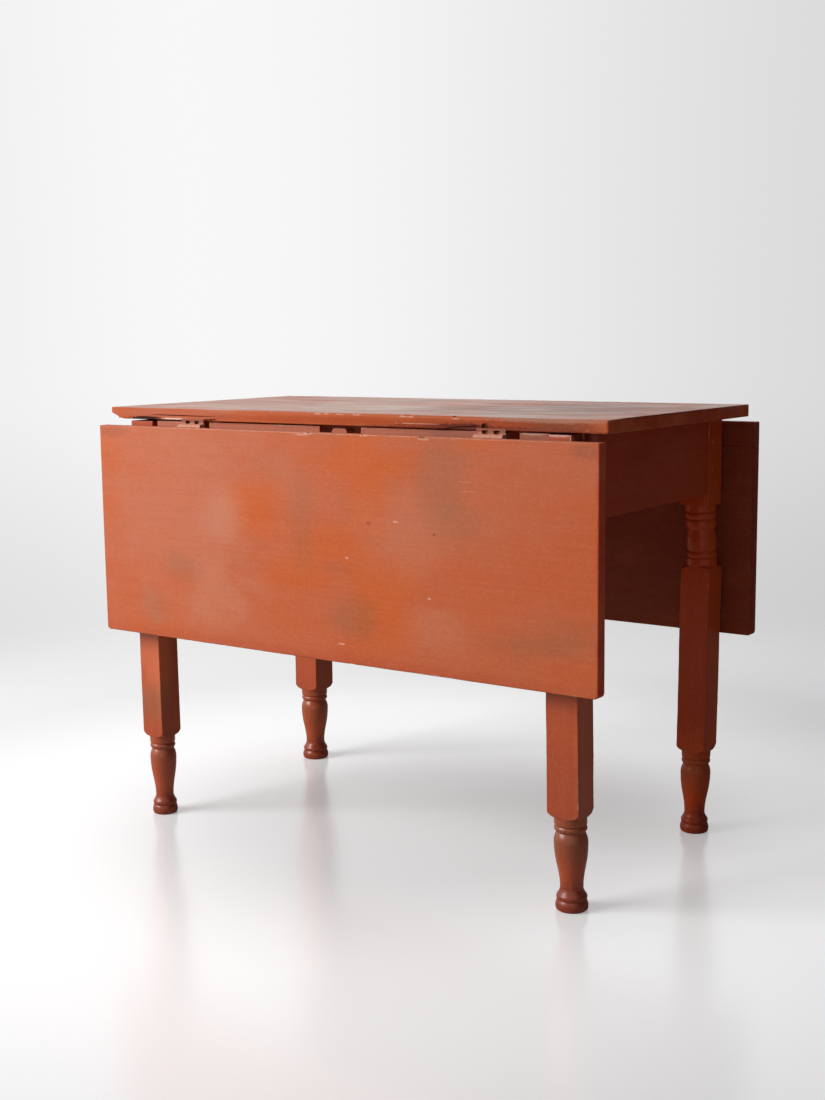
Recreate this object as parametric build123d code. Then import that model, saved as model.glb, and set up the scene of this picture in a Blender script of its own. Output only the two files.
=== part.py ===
from build123d import *
import os

# Drop leaf table. Millimetres. +X runs along the table's length to the right, +Y to the back and
# +Z up. The origin is on the floor under the middle of the top. The leaves hang down.
#
# The front half of everything that repeats on both long sides is modelled first. The rear half is
# the same work turned half a turn about the upright axis.

# ---- Top and leaves ----
TABLE_HEIGHT = 737.0
TOP_LENGTH = 990.0
TOP_WIDTH = 490.0
TOP_THICKNESS = 20.0
LEAF_LENGTH = 989.0
LEAF_WIDTH = 363.0  # from the hinged edge to the free edge
LEAF_THICKNESS = 20.0
LEAF_SHIFT = 5.0  # both leaves sit this far to the right of the top's middle
LEAF_CORNER_RADIUS = 7.0
REAR_HINGE_BOARD_WIDTH = 42.0  # the rear leaf is glued up from two boards
BOARD_CORNER_RADIUS = 2.5
BOARD_EDGE_ROUND = 1.5

# ---- Legs, turned from square blanks ----
LEG_BLANK = 52.0
LEG_ARRIS_ROUND = 1.2
TOP_OVERHANG_ENDS = 46.0
TOP_OVERHANG_SIDES = 2.5
POST_HEIGHT = 140.5  # from the underside of the top down to the upper turning
POST_TOP_GAP = 3.0  # the posts stop short of the top, which rests on the end aprons
FOOT_SHOULDER_RISE = 13.0  # rounded corners where a square stretch meets a turned one
HEAD_SHOULDER_RISE = 12.0
POST_SHOULDER_RISE = 6.5
SHOULDER_SWELL = 2.4

# A turning is a stack of steps from the bottom up: its height, the depth of the cut at its top
# below the face of the blank, and how far its middle swells past the straight line.
# A swell of None draws a long double curve that starts and ends upright.
FOOT_START_CUT = 3.8
FOOT_TURNING = [
    (4.0, 1.6, 0.6),  # rounded toe
    (12.0, 4.0, 1.2),  # foot
    (9.5, 4.9, 1.6),  # ankle ring
    (9.5, 8.6, -0.8),  # ankle
    (64.0, 0.6, None),  # vase
    (21.5, 4.4, 1.8),  # neck
    (1.5, 4.0, -0.3),
    (9.0, 3.2, 2.3),  # bead
    (2.0, 1.5, 0.0),
    (12.0, 1.2, 0.0),  # collar
]
HEAD_START_CUT = 0.4
HEAD_TURNING = [
    (13.0, 0.8, 0.4),  # lower collar
    (1.5, 2.4, 0.0),
    (10.0, 2.6, 2.3),  # bead
    (1.5, 3.0, 0.0),
    (2.0, 1.3, 0.2),
    (16.0, 0.9, 0.3),  # belly
    (17.5, 3.9, None),  # neck
    (4.0, 1.6, -0.8),
    (11.0, 1.2, 0.8),  # lip
    (2.5, 3.2, -0.3),
    (12.0, 2.6, 3.0),  # bead
    (1.5, 0.6, 0.0),
    (11.5, 0.3, 0.0),  # upper collar
]

# ---- Aprons ----
APRON_HEIGHT = 129.0
APRON_THICKNESS = 22.0
APRON_SETBACK = 3.0  # behind the outer face of the posts
TENON_THICKNESS = 10.0
TENON_SHOULDER = 12.0  # apron height left bare above and below a tenon
TENON_CLEARANCE = 2.0  # between the two tenons that meet in one post
MORTISE_END_GAP = 1.0
END_SLOT_WIDTH = 9.0  # open slot beside one post of each side apron
END_SLOT_DEPTH = 14.0

# ---- Swinging arms, let into the upper edge of the side aprons ----
ARM_TOP_GAP = 2.0  # the arms and side aprons stay clear of the top
ARM_HEIGHT = 30.0
SHORT_ARM_HINGE_GAP = 2.5  # between the short arm's free end and the hinge beside it
LONG_ARM_LENGTH = 277.0
ARM_END_BEVEL = 6.0
ARM_END_GAP = 14.0  # between an arm and the fixed end of its apron
SHORT_ARM_FINGER_GAP = 24.5
LONG_ARM_FINGER_GAP = 28.0
STUB_MIDDLE = 12.5  # fixed stub between the arms, to the right of the table's middle
STUB_WIDTH = 30.0
STUB_DROP = 3.0
STUB_CORNER_RADIUS = 6.0
ARM_PIN_DIAMETER = 9.5
ARM_PIN_DEPTH = 45.0  # into the apron, below the arm

# ---- Hinges ----
HINGE_INSET = 195.0  # from the end of the top to the middle of a hinge
HINGE_LENGTH = 51.0
PIN_DROP = 11.0  # pin axis below the underside of the top
PIN_OUTSET = 4.0  # pin axis outside the long edge of the top
RAISED_GAP = 3.0  # between the top and a raised leaf
BARREL_DIAMETER = 12.0
HINGE_PIN_DIAMETER = 5.0
KNUCKLE_COUNT = 5
KNUCKLE_GAP = 0.4
PLATE_THICKNESS = 3.0
NECK_THICKNESS = 4.0
TOP_PLATE_REACH = 45.0
LEAF_PLATE_REACH = 75.0
PLATE_CORNER_RADIUS = 5.0
PLATE_POCKET_GAP = 0.4
RUNNING_CLEARANCE = 0.1  # around a pin that something turns on

# ---- Fixings ----
SCREW_HEAD_DIAMETER = 8.0
SCREW_SHANK_DIAMETER = 4.0
SCREW_HEAD_HEIGHT = 2.4
SCREW_POINT = 4.0
SCREW_SLOT_WIDTH = 1.1
SCREW_SLOT_DEPTH = 0.9
SCREW_COVER = 5.0  # wood left above a screw's point
SCREW_EDGE_DISTANCE = 10.0  # from a plate's sides and ends
NECK_SCREW_DISTANCE = 17.0  # from the hinged edge of a board to its first screw
PEG_DIAMETER = 8.0
PEG_LENGTH = 24.0
PEG_INSET = 30.0  # from the top and bottom of a tenon
BLOCK_LENGTH = 70.0
BLOCK_SIZE = 26.0
BLOCK_SPACING = 220.0
BLOCK_SCREW_SPACING = 40.0

# ---- Worked out from the sizes above ----
UNDERSIDE = TABLE_HEIGHT - TOP_THICKNESS
HALF_BLANK = LEG_BLANK / 2
LEG_X = TOP_LENGTH / 2 - TOP_OVERHANG_ENDS - HALF_BLANK
LEG_Y = TOP_WIDTH / 2 - TOP_OVERHANG_SIDES - HALF_BLANK
POST_INNER_X = LEG_X - HALF_BLANK
POST_INNER_Y = LEG_Y - HALF_BLANK
POST_OUTER_X = LEG_X + HALF_BLANK
POST_OUTER_Y = LEG_Y + HALF_BLANK
POST_TOP = UNDERSIDE - POST_TOP_GAP
APRON_BOTTOM = UNDERSIDE - APRON_HEIGHT
SIDE_APRON_TOP = UNDERSIDE - ARM_TOP_GAP
END_APRON_OUTER = POST_OUTER_X - APRON_SETBACK
SIDE_APRON_OUTER = POST_OUTER_Y - APRON_SETBACK
END_TENON_OUTER = END_APRON_OUTER - (APRON_THICKNESS - TENON_THICKNESS) / 2
SIDE_TENON_OUTER = SIDE_APRON_OUTER - (APRON_THICKNESS - TENON_THICKNESS) / 2
# Each tenon stops short of the one that crosses it at the post's inner corner.
SIDE_TENON_END = END_TENON_OUTER - TENON_THICKNESS - TENON_CLEARANCE
END_TENON_END = SIDE_TENON_OUTER - TENON_THICKNESS - TENON_CLEARANCE
TENON_BOTTOM = APRON_BOTTOM + TENON_SHOULDER
TENON_TOP = UNDERSIDE - TENON_SHOULDER
ARM_MIDDLE_Y = -(SIDE_APRON_OUTER - APRON_THICKNESS / 2)
ARM_BOTTOM = SIDE_APRON_TOP - ARM_HEIGHT
STUB_LEFT = STUB_MIDDLE - STUB_WIDTH / 2
STUB_RIGHT = STUB_MIDDLE + STUB_WIDTH / 2
SHORT_ARM_RIGHT = STUB_LEFT - SHORT_ARM_FINGER_GAP
SHORT_ARM_LEFT = -TOP_LENGTH / 2 + HINGE_INSET + HINGE_LENGTH / 2 + SHORT_ARM_HINGE_GAP
LONG_ARM_LEFT = STUB_RIGHT + LONG_ARM_FINGER_GAP
LONG_ARM_RIGHT = LONG_ARM_LEFT + LONG_ARM_LENGTH
PIN_Y = -(TOP_WIDTH / 2 + PIN_OUTSET)
PIN_Z = UNDERSIDE - PIN_DROP
LEAF_EDGE_Y = -(TOP_WIDTH / 2 + RAISED_GAP)
TOP_SCREW_LENGTH = TOP_THICKNESS - SCREW_COVER
LEAF_SCREW_LENGTH = LEAF_THICKNESS - SCREW_COVER
BLOCK_SCREW_LENGTH = BLOCK_SIZE + TOP_SCREW_LENGTH

parts = {}


def block(x, y, z):
    """Box between two limits along each axis, given in either order."""
    limits = [sorted(pair) for pair in (x, y, z)]
    size = [high - low for low, high in limits]
    middle = [(low + high) / 2 for low, high in limits]
    return Pos(*middle) * Box(*size)


def to_rear(shape):
    """The same piece on the other long side: half a turn about the upright axis."""
    return Rot(0, 0, 180) * shape


def let_down(shape):
    """A piece of the front leaf, drawn raised, turned down to hang from the hinge pins."""
    axis = Axis((0, PIN_Y, PIN_Z), (1, 0, 0))
    return shape.rotate(axis, 90)


def rounded_board(x, y, z, corner_radius, far_corner_radius=None):
    """Board with rounded upright corners and softened long arrises.

    far_corner_radius, where given, is used for the two corners on the low side of Y.
    """
    board = block(x, y, z)
    upright = board.edges().filter_by(Axis.Z).sort_by(Axis.Y)
    board = fillet(upright[:2], far_corner_radius or corner_radius)
    upright = board.edges().filter_by(Axis.Z).sort_by(Axis.Y)
    board = fillet(upright[-2:], corner_radius)
    faces = board.faces().filter_by(Axis.Z)
    return fillet(faces.edges(), BOARD_EDGE_ROUND)


# ---- Turned legs ----
def turned_steps(start_z, start_radius, steps):
    """Outline edges of one turning, its top height and its top radius."""
    edges = []
    z, radius = start_z, start_radius
    for rise, cut, swell in steps:
        next_z = z + rise
        next_radius = HALF_BLANK - cut
        start = (radius, 0, z)
        end = (next_radius, 0, next_z)
        if swell is None:
            edges.append(Spline(start, end, tangents=[(0, 0, 1), (0, 0, 1)]))
        elif swell == 0:
            edges.append(Line(start, end))
        else:
            middle = ((radius + next_radius) / 2 + swell, 0, (z + next_z) / 2)
            edges.append(ThreePointArc(start, middle, end))
        z, radius = next_z, next_radius
    return edges, z, radius


def shoulder(round_z, round_radius, square_z):
    """Outline of the rounded corner between a turned stretch and a square one."""
    corner_radius = HALF_BLANK * 2**0.5
    middle_z = (round_z + square_z) / 2 - (square_z - round_z) / abs(square_z - round_z) * SHOULDER_SWELL
    middle = ((round_radius + corner_radius) / 2 + SHOULDER_SWELL, 0, middle_z)
    return ThreePointArc((round_radius, 0, round_z), middle, (corner_radius, 0, square_z))


def leg_solid():
    """One leg, upright on the floor with its axis on the origin."""
    corner_radius = HALF_BLANK * 2**0.5
    clear_radius = corner_radius + LEG_ARRIS_ROUND
    foot_edges, foot_top, foot_radius = turned_steps(0, HALF_BLANK - FOOT_START_CUT, FOOT_TURNING)
    post_bottom = UNDERSIDE - POST_HEIGHT
    head_bottom = post_bottom - POST_SHOULDER_RISE - sum(step[0] for step in HEAD_TURNING)
    head_start_radius = HALF_BLANK - HEAD_START_CUT
    head_edges, head_top, head_radius = turned_steps(head_bottom, head_start_radius, HEAD_TURNING)
    square_bottom = foot_top + FOOT_SHOULDER_RISE
    square_top = head_bottom - HEAD_SHOULDER_RISE

    outline = [Line((0, 0, 0), (HALF_BLANK - FOOT_START_CUT, 0, 0))]
    outline += foot_edges
    outline.append(shoulder(foot_top, foot_radius, square_bottom))
    outline.append(Line((corner_radius, 0, square_bottom), (clear_radius, 0, square_bottom)))
    outline.append(Line((clear_radius, 0, square_bottom), (clear_radius, 0, square_top)))
    outline.append(Line((clear_radius, 0, square_top), (corner_radius, 0, square_top)))
    outline.append(shoulder(head_bottom, head_start_radius, square_top))
    outline += head_edges
    outline.append(shoulder(head_top, head_radius, post_bottom))
    outline.append(Line((corner_radius, 0, post_bottom), (clear_radius, 0, post_bottom)))
    outline.append(Line((clear_radius, 0, post_bottom), (clear_radius, 0, POST_TOP)))
    outline.append(Line((clear_radius, 0, POST_TOP), (0, 0, POST_TOP)))
    outline.append(Line((0, 0, POST_TOP), (0, 0, 0)))
    spun = revolve(make_face(outline), Axis.Z, 360)

    half = (-HALF_BLANK, HALF_BLANK)
    blank = block(half, half, (0, POST_TOP))
    blank = fillet(blank.edges().filter_by(Axis.Z), LEG_ARRIS_ROUND)
    return blank & spun


def side_tenon(x_sign, y_sign, end_gap=0.0):
    """Tenon of a side apron in one post. end_gap lengthens it, for the mortise."""
    x = (x_sign * POST_INNER_X, x_sign * (SIDE_TENON_END + end_gap))
    y = (y_sign * SIDE_TENON_OUTER, y_sign * (SIDE_TENON_OUTER - TENON_THICKNESS))
    return block(x, y, (TENON_BOTTOM, TENON_TOP - ARM_TOP_GAP))


def end_tenon(x_sign, y_sign, end_gap=0.0):
    """Tenon of an end apron in one post. end_gap lengthens it, for the mortise."""
    x = (x_sign * END_TENON_OUTER, x_sign * (END_TENON_OUTER - TENON_THICKNESS))
    y = (y_sign * POST_INNER_Y, y_sign * (END_TENON_END + end_gap))
    return block(x, y, (TENON_BOTTOM, TENON_TOP))


def pegs_of_corner(x_sign, y_sign):
    """Pegs through both tenons of one post, flush with its outer faces."""
    side_peg_x = x_sign * (POST_INNER_X + SIDE_TENON_END) / 2
    end_peg_y = y_sign * (POST_INNER_Y + END_TENON_END) / 2
    peg = Cylinder(PEG_DIAMETER / 2, PEG_LENGTH)
    pegs = []
    for z in (TENON_BOTTOM + PEG_INSET, TENON_TOP - PEG_INSET):
        side_peg_y = y_sign * (POST_OUTER_Y - PEG_LENGTH / 2)
        end_peg_x = x_sign * (POST_OUTER_X - PEG_LENGTH / 2)
        pegs.append(Pos(side_peg_x, side_peg_y, z) * Rot(90, 0, 0) * peg)
        pegs.append(Pos(end_peg_x, end_peg_y, z) * Rot(0, 90, 0) * peg)
    return pegs


corners = {
    "front_left": (-1, -1),
    "front_right": (1, -1),
    "rear_left": (-1, 1),
    "rear_right": (1, 1),
}
plain_leg = leg_solid()
pegs = []
for corner, (x_sign, y_sign) in corners.items():
    corner_pegs = pegs_of_corner(x_sign, y_sign)
    leg = Pos(x_sign * LEG_X, y_sign * LEG_Y, 0) * plain_leg
    leg -= side_tenon(x_sign, y_sign, MORTISE_END_GAP)
    leg -= end_tenon(x_sign, y_sign, MORTISE_END_GAP)
    parts[f"{corner}_leg"] = leg - corner_pegs
    pegs += corner_pegs
parts["tenon_pegs"] = Compound(children=pegs)


# ---- End aprons ----
def end_apron(x_sign):
    """Board between the posts of one end, with its two tenons."""
    x = (x_sign * END_APRON_OUTER, x_sign * (END_APRON_OUTER - APRON_THICKNESS))
    board = block(x, (-POST_INNER_Y, POST_INNER_Y), (APRON_BOTTOM, UNDERSIDE))
    return board + end_tenon(x_sign, -1) + end_tenon(x_sign, 1) - pegs


parts["left_end_apron"] = end_apron(-1)
parts["right_end_apron"] = end_apron(1)


# ---- Side aprons, their swinging arms and the pins these turn on ----
def arm_pin(middle_x):
    """Upright pin at the middle of an arm, flush with the arm's top."""
    bottom = ARM_BOTTOM - ARM_PIN_DEPTH
    height = SIDE_APRON_TOP - bottom
    return Pos(middle_x, ARM_MIDDLE_Y, bottom + height / 2) * Cylinder(ARM_PIN_DIAMETER / 2, height)


def arm(left, right, swings_out_at_right):
    """Arm of the front apron. Both ends are bevelled so that it can swing out of its notch."""
    outer_y = ARM_MIDDLE_Y - APRON_THICKNESS / 2
    inner_y = ARM_MIDDLE_Y + APRON_THICKNESS / 2
    outer_left, inner_left, outer_right, inner_right = left, left, right, right
    if swings_out_at_right:
        inner_right -= ARM_END_BEVEL
        outer_left += ARM_END_BEVEL
    else:
        inner_left += ARM_END_BEVEL
        outer_right -= ARM_END_BEVEL
    plan = Polyline(
        (outer_left, outer_y),
        (outer_right, outer_y),
        (inner_right, inner_y),
        (inner_left, inner_y),
        close=True,
    )
    solid = Pos(0, 0, ARM_BOTTOM) * extrude(make_face(plan), ARM_HEIGHT)
    bore_radius = ARM_PIN_DIAMETER / 2 + RUNNING_CLEARANCE
    bore_middle = Pos((left + right) / 2, ARM_MIDDLE_Y, ARM_BOTTOM + ARM_HEIGHT / 2)
    return solid - bore_middle * Cylinder(bore_radius, ARM_HEIGHT)


def front_side_apron(arm_pins):
    """Front apron with two long notches for the arms and a low stub between them."""
    outer, inner = -SIDE_APRON_OUTER, -(SIDE_APRON_OUTER - APRON_THICKNESS)
    z_notch = (ARM_BOTTOM, UNDERSIDE)
    board = block((-POST_INNER_X, POST_INNER_X), (outer, inner), (APRON_BOTTOM, SIDE_APRON_TOP))
    board -= block((SHORT_ARM_LEFT - ARM_END_GAP, STUB_LEFT), (outer, inner), z_notch)
    board -= block((STUB_RIGHT, LONG_ARM_RIGHT + ARM_END_GAP), (outer, inner), z_notch)
    board -= block((STUB_LEFT, STUB_RIGHT), (outer, inner), (SIDE_APRON_TOP - STUB_DROP, UNDERSIDE))
    slot = (-POST_INNER_X, -POST_INNER_X + END_SLOT_WIDTH)
    board -= block(slot, (outer, inner), (SIDE_APRON_TOP - END_SLOT_DEPTH, UNDERSIDE))
    stub_top = SIDE_APRON_TOP - STUB_DROP
    stub_corners = [
        edge
        for edge in board.edges().filter_by(Axis.Y)
        if abs(edge.center().Z - stub_top) < 0.1 and STUB_LEFT - 1 < edge.center().X < STUB_RIGHT + 1
    ]
    board = fillet(stub_corners, min(STUB_CORNER_RADIUS, STUB_WIDTH / 2 - 1))
    board += side_tenon(-1, -1)
    board += side_tenon(1, -1)
    return board - pegs - arm_pins


short_arm_middle = (SHORT_ARM_LEFT + SHORT_ARM_RIGHT) / 2
long_arm_middle = (LONG_ARM_LEFT + LONG_ARM_RIGHT) / 2
front_arm_pins = [arm_pin(short_arm_middle), arm_pin(long_arm_middle)]
front_apron = front_side_apron(front_arm_pins)
short_arm = arm(SHORT_ARM_LEFT, SHORT_ARM_RIGHT, True)
long_arm = arm(LONG_ARM_LEFT, LONG_ARM_RIGHT, False)
parts["front_side_apron"] = front_apron
parts["rear_side_apron"] = to_rear(front_apron)
parts["front_short_arm"] = short_arm
parts["front_long_arm"] = long_arm
parts["rear_short_arm"] = to_rear(short_arm)
parts["rear_long_arm"] = to_rear(long_arm)
parts["arm_pivot_pins"] = Compound(children=front_arm_pins + [to_rear(pin) for pin in front_arm_pins])


# ---- Wood screws ----
def screw_body(length):
    """Countersunk screw without its slot. Its head is flush with z = 0 and it points up."""
    head_radius = SCREW_HEAD_DIAMETER / 2
    shank_radius = SCREW_SHANK_DIAMETER / 2
    outline = Polyline(
        (0, 0, 0),
        (head_radius, 0, 0),
        (shank_radius, 0, SCREW_HEAD_HEIGHT),
        (shank_radius, 0, length - SCREW_POINT),
        (0, 0, length),
        close=True,
    )
    return revolve(make_face(outline), Axis.Z, 360)


def screw(length):
    """Countersunk wood screw with a slotted head."""
    slot = block(
        (-SCREW_HEAD_DIAMETER, SCREW_HEAD_DIAMETER),
        (-SCREW_SLOT_WIDTH / 2, SCREW_SLOT_WIDTH / 2),
        (-SCREW_SLOT_DEPTH, SCREW_SLOT_DEPTH),
    )
    return screw_body(length) - slot


# ---- Hinges, drawn with the leaf raised ----
def plate(middle_x, edge_y, reach, outward, grow=0.0):
    """Flat of one hinge plate, let into the underside of a board.

    edge_y is the board's hinged edge and outward is -1 where the plate runs away from the table's
    middle. grow widens it into its pocket.
    """
    half = HINGE_LENGTH / 2 + grow
    far_y = edge_y + outward * (reach + grow)
    flat = block(
        (middle_x - half, middle_x + half), (edge_y, far_y), (UNDERSIDE, UNDERSIDE + PLATE_THICKNESS)
    )
    upright = flat.edges().filter_by(Axis.Z).sort_by(Axis.Y)
    far_corners = upright[:2] if outward < 0 else upright[-2:]
    return fillet(far_corners, PLATE_CORNER_RADIUS)


def knuckle_spans(middle_x, first):
    """Limits along X of every second knuckle, from number first."""
    pitch = HINGE_LENGTH / KNUCKLE_COUNT
    start = middle_x - HINGE_LENGTH / 2
    spans = []
    for number in range(first, KNUCKLE_COUNT, 2):
        low = start + number * pitch + (KNUCKLE_GAP / 2 if number > 0 else 0)
        high = start + (number + 1) * pitch - (KNUCKLE_GAP / 2 if number < KNUCKLE_COUNT - 1 else 0)
        spans.append((low, high))
    return spans


def knuckle(span, edge_y, outward):
    """Barrel segment and the neck that joins it to its plate."""
    length = span[1] - span[0]
    middle = Pos((span[0] + span[1]) / 2, PIN_Y, PIN_Z)
    barrel = middle * Rot(0, 90, 0) * Cylinder(BARREL_DIAMETER / 2, length)
    neck = block(span, (edge_y, edge_y + outward * NECK_THICKNESS), (PIN_Z, UNDERSIDE + PLATE_THICKNESS))
    return barrel + neck


def hinge_pin(middle_x):
    """Pin through all the knuckles of one hinge."""
    return Pos(middle_x, PIN_Y, PIN_Z) * Rot(0, 90, 0) * Cylinder(HINGE_PIN_DIAMETER / 2, HINGE_LENGTH)


def screw_places(middle_x, edge_y, reach, outward):
    """Three screws in a triangle or a staggered row on one plate."""
    near = edge_y + outward * NECK_SCREW_DISTANCE
    far = edge_y + outward * (reach - SCREW_EDGE_DISTANCE)
    side = HINGE_LENGTH / 2 - SCREW_EDGE_DISTANCE
    return [(middle_x - side, near), (middle_x + side, near), (middle_x, far)]


def hinge_plate(middle_x, edge_y, reach, outward, first, bore_gap, screw_length):
    """One plate of a hinge with its knuckles, pin bore and screw holes."""
    solid = plate(middle_x, edge_y, reach, outward)
    for span in knuckle_spans(middle_x, first):
        solid += knuckle(span, edge_y, outward)
    bore = Cylinder(HINGE_PIN_DIAMETER / 2 + bore_gap, HINGE_LENGTH)
    solid -= Pos(middle_x, PIN_Y, PIN_Z) * Rot(0, 90, 0) * bore
    for x, y in screw_places(middle_x, edge_y, reach, outward):
        solid -= Pos(x, y, UNDERSIDE) * screw_body(screw_length)
    return solid


TOP_EDGE_Y = -TOP_WIDTH / 2
hinge_xs = {"left": -TOP_LENGTH / 2 + HINGE_INSET, "right": TOP_LENGTH / 2 - HINGE_INSET}
top_cuts = []
front_leaf_cuts = []
top_screws = []
raised_leaf_screws = []
for side, x in hinge_xs.items():
    other_side = "left" if side == "right" else "right"
    top_plate = hinge_plate(x, TOP_EDGE_Y, TOP_PLATE_REACH, 1, 0, 0.0, TOP_SCREW_LENGTH)
    leaf_plate = let_down(
        hinge_plate(x, LEAF_EDGE_Y, LEAF_PLATE_REACH, -1, 1, RUNNING_CLEARANCE, LEAF_SCREW_LENGTH)
    )
    pin = hinge_pin(x)
    parts[f"front_{side}_hinge_top_plate"] = top_plate
    parts[f"front_{side}_hinge_leaf_plate"] = leaf_plate
    parts[f"front_{side}_hinge_pin"] = pin
    parts[f"rear_{other_side}_hinge_top_plate"] = to_rear(top_plate)
    parts[f"rear_{other_side}_hinge_leaf_plate"] = to_rear(leaf_plate)
    parts[f"rear_{other_side}_hinge_pin"] = to_rear(pin)
    top_cuts.append(plate(x, TOP_EDGE_Y, TOP_PLATE_REACH, 1, PLATE_POCKET_GAP))
    front_leaf_cuts.append(plate(x, LEAF_EDGE_Y, LEAF_PLATE_REACH, -1, PLATE_POCKET_GAP))
    for screw_x, screw_y in screw_places(x, TOP_EDGE_Y, TOP_PLATE_REACH, 1):
        place = Pos(screw_x, screw_y, UNDERSIDE)
        top_cuts.append(place * screw_body(TOP_SCREW_LENGTH))
        top_screws.append(place * screw(TOP_SCREW_LENGTH))
    for screw_x, screw_y in screw_places(x, LEAF_EDGE_Y, LEAF_PLATE_REACH, -1):
        place = Pos(screw_x, screw_y, UNDERSIDE)
        front_leaf_cuts.append(place * screw_body(LEAF_SCREW_LENGTH))
        raised_leaf_screws.append(place * screw(LEAF_SCREW_LENGTH))

front_leaf_screws = [let_down(one) for one in raised_leaf_screws]
parts["top_hinge_screws"] = Compound(children=top_screws + [to_rear(one) for one in top_screws])
parts["front_leaf_screws"] = Compound(children=front_leaf_screws)
parts["rear_leaf_screws"] = Compound(children=[to_rear(one) for one in front_leaf_screws])


# ---- Blocks that hold the top down on the end aprons ----
block_inner_x = END_APRON_OUTER - APRON_THICKNESS
block_z = (UNDERSIDE - BLOCK_SIZE, UNDERSIDE)
block_screws = []
block_screw_cuts = []
for corner, (x_sign, y_sign) in corners.items():
    middle_y = y_sign * BLOCK_SPACING / 2
    x = (x_sign * block_inner_x, x_sign * (block_inner_x - BLOCK_SIZE))
    wood = block(x, (middle_y - BLOCK_LENGTH / 2, middle_y + BLOCK_LENGTH / 2), block_z)
    for offset in (-BLOCK_SCREW_SPACING / 2, BLOCK_SCREW_SPACING / 2):
        place = Pos(x_sign * (block_inner_x - BLOCK_SIZE / 2), middle_y + offset, block_z[0])
        wood -= place * screw_body(BLOCK_SCREW_LENGTH)
        block_screw_cuts.append(place * screw_body(BLOCK_SCREW_LENGTH))
        block_screws.append(place * screw(BLOCK_SCREW_LENGTH))
    parts[f"{corner}_top_block"] = wood
parts["block_screws"] = Compound(children=block_screws)


# ---- Top and leaves ----
half_length = (-TOP_LENGTH / 2, TOP_LENGTH / 2)
top_board = rounded_board(
    half_length, (TOP_EDGE_Y, -TOP_EDGE_Y), (UNDERSIDE, TABLE_HEIGHT), BOARD_CORNER_RADIUS
)
top_board = top_board - top_cuts - [to_rear(cut) for cut in top_cuts] - block_screw_cuts
parts["top_board"] = top_board


def raised_leaf(shift):
    """Front leaf, raised level with the top, with its pockets and screw holes."""
    x = (shift - LEAF_LENGTH / 2, shift + LEAF_LENGTH / 2)
    y = (LEAF_EDGE_Y - LEAF_WIDTH, LEAF_EDGE_Y)
    board = rounded_board(
        x, y, (UNDERSIDE, UNDERSIDE + LEAF_THICKNESS), BOARD_CORNER_RADIUS, LEAF_CORNER_RADIUS
    )
    return board - front_leaf_cuts


parts["front_leaf_board"] = let_down(raised_leaf(LEAF_SHIFT))
rear_leaf = raised_leaf(-LEAF_SHIFT)
joint_y = LEAF_EDGE_Y - REAR_HINGE_BOARD_WIDTH
leaf_z = (UNDERSIDE, UNDERSIDE + LEAF_THICKNESS)
hinge_board_zone = block((-LEAF_LENGTH, LEAF_LENGTH), (LEAF_EDGE_Y, joint_y), leaf_z)
parts["rear_leaf_hinge_board"] = to_rear(let_down(rear_leaf & hinge_board_zone))
parts["rear_leaf_board"] = to_rear(let_down(rear_leaf - hinge_board_zone))

os.makedirs("parts", exist_ok=True)
for name, shape in parts.items():
    export_step(shape, f"parts/{name}.step")
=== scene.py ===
"""Looks of an old painted drop leaf table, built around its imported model."""

import logging
import math
from collections.abc import Iterable
from dataclasses import dataclass, field, replace
from enum import Enum

import bmesh
import bpy
from mathutils import Euler, Matrix, Vector, noise


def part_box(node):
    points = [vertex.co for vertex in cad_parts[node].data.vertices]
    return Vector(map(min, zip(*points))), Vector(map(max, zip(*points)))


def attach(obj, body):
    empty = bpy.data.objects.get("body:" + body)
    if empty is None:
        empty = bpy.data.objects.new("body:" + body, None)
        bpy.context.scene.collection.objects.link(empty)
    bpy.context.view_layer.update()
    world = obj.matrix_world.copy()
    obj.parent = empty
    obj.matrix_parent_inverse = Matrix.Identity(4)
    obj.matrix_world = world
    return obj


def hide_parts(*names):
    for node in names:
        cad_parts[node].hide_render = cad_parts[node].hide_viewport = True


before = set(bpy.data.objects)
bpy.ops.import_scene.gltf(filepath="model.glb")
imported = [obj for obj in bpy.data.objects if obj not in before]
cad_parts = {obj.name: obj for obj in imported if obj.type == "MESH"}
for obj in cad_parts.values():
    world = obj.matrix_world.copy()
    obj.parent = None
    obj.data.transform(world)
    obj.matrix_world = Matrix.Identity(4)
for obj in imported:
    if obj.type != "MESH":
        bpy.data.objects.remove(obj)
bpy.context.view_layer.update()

log = logging.getLogger("drop_leaf_table")

MM = 0.001
SLOT_WOOD = "painted_wood"

Tree = bpy.types.NodeTree
Socket = bpy.types.NodeSocket
Ramp = tuple[tuple[float, float], tuple[float, float]]  # limits of a value, levels at both


class Grain(Enum):
    """Which way the fibres of a piece run, as the number of that axis."""

    ALONG_X = 0
    ALONG_Y = 1
    ALONG_Z = 2

    def scale(self, along: float, across: float) -> tuple[float, float, float]:
        """Mapping scale that draws a pattern out along the grain.

        Args:
            along: Size of the pattern along the grain, in millimetres.
            across: Size of the pattern across the grain, in millimetres.

        Returns:
            One scale for each axis, in patterns per metre.
        """
        sizes = [across] * 3
        sizes[self.value] = along
        return tuple(1 / (size * MM) for size in sizes)


# ---- Materials ----


def linear(hex_colour: str) -> tuple[float, float, float, float]:
    """Turns an sRGB colour into the linear one that shaders take.

    Args:
        hex_colour: The colour as "#RRGGBB".

    Returns:
        Linear red, green and blue, and an alpha of 1.
    """
    channels = [int(hex_colour[place : place + 2], 16) / 255 for place in (1, 3, 5)]
    return (*(c / 12.92 if c <= 0.04045 else ((c + 0.055) / 1.055) ** 2.4 for c in channels), 1.0)


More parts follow.
